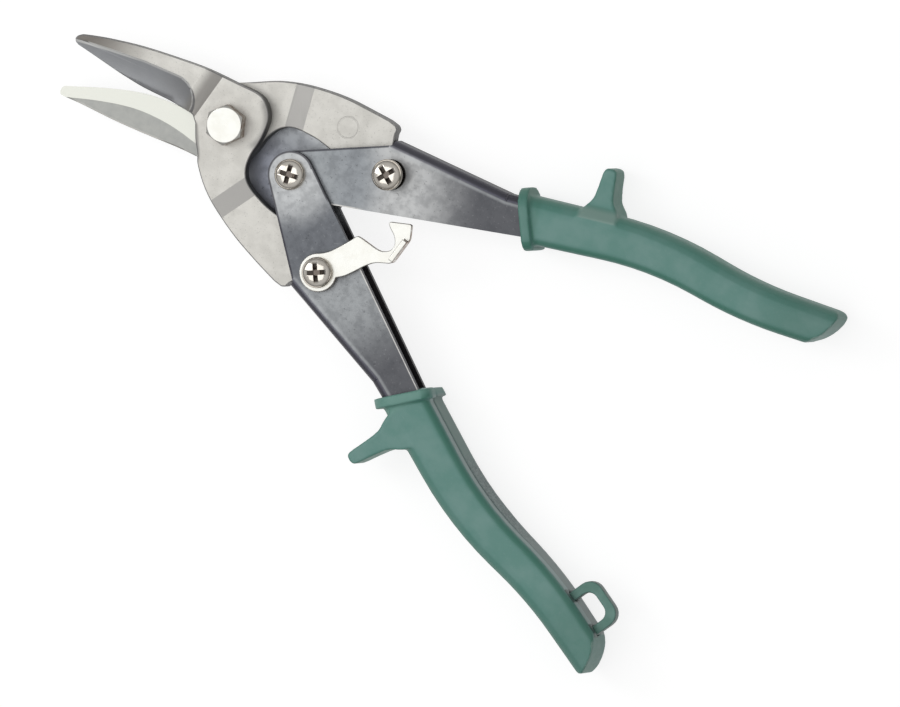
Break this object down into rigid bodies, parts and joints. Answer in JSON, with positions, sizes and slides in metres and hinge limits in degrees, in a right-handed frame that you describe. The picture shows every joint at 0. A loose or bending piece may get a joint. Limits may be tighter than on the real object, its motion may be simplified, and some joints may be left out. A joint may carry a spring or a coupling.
{
  "type": "aviation snips",
  "caption": "Compound-action sheet metal snips with crossed jaws, sprung folded-steel handles, moulded plastic grips, a hooking thumb latch and a hang loop.",
  "frame": {"origin": "on the axis of the blade pivot, in the surface that the snips lie on: the flush end of the pivot bolt in its nut", "axes": "+X from the blade tips to the grips along the mirror line of the linkage, +Y to the upper handle, +Z out of the front face, parallel to every pivot"},
  "size_m": [0.2455, 0.1372, 0.0218],
  "materials": {
    "jaw_steel": "forged, satin blasted, cutting faces ground",
    "bright_zinc": "bright zinc plate",
    "nickel": "nickel plate",
    "grey_steel": "mottled blue-grey pickled steel",
    "grip_green": "matt grey-green dipped plastic",
    "washer_steel": "turned",
    "washer_brass": "stamped",
    "spring_steel": "oil-blackened wire"
  },
  "bodies": {
    "lower_handle": {"lower_channel": "grey_steel", "lower_grip": "grip_green", "hang_loop": "grip_green", "handle_pivot_screw": "nickel", "handle_pivot_sleeve": "washer_steel", "handle_pivot_nut": "nickel", "return_spring": "spring_steel", "lower_link_screw": "nickel", "lower_link_washers": "washer_brass", "lower_link_nut": "nickel", "latch_washer": "washer_steel"},
    "upper_handle": {"upper_channel": "grey_steel", "upper_grip": "grip_green", "upper_link_screw": "nickel", "upper_link_washers": "washer_brass", "upper_link_nut": "nickel"},
    "front_jaw": {"front_jaw": "jaw_steel", "pivot_bolt": "bright_zinc", "pivot_washer": "washer_steel", "pivot_nut": "bright_zinc"},
    "rear_jaw": {"rear_jaw": "jaw_steel"},
    "latch": {"latch": "bright_zinc"}
  },
  "joints": [
    {"name": "handle_squeeze", "type": "hinge", "parent": "lower_handle", "child": "upper_handle", "pos_m": [0.02541, 0, 0.01], "axis": [0, 0, -1], "range_deg": [0, 30.8], "stiffness_Nm_per_rad": 1.2, "springref_deg": -22.92, "deforming": ["return_spring"]},
    {"name": "front_jaw_swing", "type": "hinge", "parent": "lower_handle", "child": "front_jaw", "pos_m": [0.05068, -0.01863, 0.01], "axis": [0, 0, -1], "range_deg": [0, 7.24]},
    {"name": "rear_jaw_swing", "type": "hinge", "parent": "front_jaw", "child": "rear_jaw", "pos_m": [0, 0, 0.01], "axis": [0, 0, -1], "range_deg": [0, 16.32]},
    {"name": "latch_swing", "type": "hinge", "parent": "lower_handle", "child": "latch", "pos_m": [0.05068, -0.01863, 0.01], "axis": [0, 0, 1], "range_deg": [-30, 12]}
  ],
  "couplings": [
    {"joint": "front_jaw_swing", "follows": "handle_squeeze", "ratio": 0.23513},
    {"joint": "rear_jaw_swing", "follows": "handle_squeeze", "ratio": 0.52973}
  ]
}
